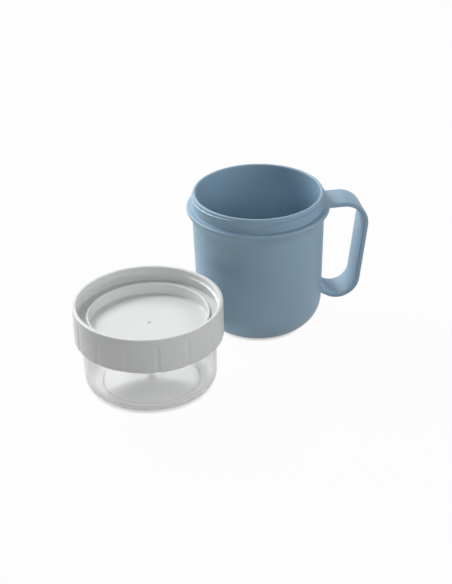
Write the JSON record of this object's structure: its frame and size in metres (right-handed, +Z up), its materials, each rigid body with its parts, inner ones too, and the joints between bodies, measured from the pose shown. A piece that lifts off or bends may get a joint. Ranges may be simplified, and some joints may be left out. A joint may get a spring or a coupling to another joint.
{
  "type": "plastic travel cup",
  "caption": "Two-compartment breakfast cup: handled mug with a threaded neck, and a clear pot under the double-ended screw lid that joins the two.",
  "frame": {"origin": "on the table, in the middle of the box that the mug and the pot cover together", "axes": "+Z is up, along the axes of the mug and the pot, and +X is the way the mug's handle points"},
  "size_m": [0.2143, 0.164, 0.1024],
  "materials": {
    "mug_plastic": "satin moulded polypropylene, grey-blue",
    "lid_plastic": "satin moulded polypropylene, pale grey",
    "clear_plastic": "clear moulded plastic, polished",
    "seal_rubber": "soft translucent silicone"
  },
  "bodies": {
    "mug": {"mug": "mug_plastic"},
    "clear_pot": {"clear_pot": "clear_plastic"},
    "pot_seal": {"pot_seal": "seal_rubber"},
    "screw_lid": {"screw_lid": "lid_plastic", "mug_seal": "seal_rubber"}
  },
  "joints": [
    {"name": "pot_lift", "type": "slide", "parent": "mug", "child": "clear_pot", "axis": [0, 0, 1], "range_m": [0, 0.13]},
    {"name": "lid_rise", "type": "slide", "parent": "clear_pot", "child": "pot_seal", "axis": [0, 0, 1], "range_m": [0, 0.01]},
    {"name": "lid_turn", "type": "hinge", "parent": "pot_seal", "child": "screw_lid", "pos_m": [-0.0572, -0.032, 0.048], "axis": [0, 0, 1], "range_deg": [0, 360]}
  ],
  "couplings": [
    {"joint": "lid_rise", "follows": "lid_turn", "m_per_rad": 0.0015915}
  ]
}
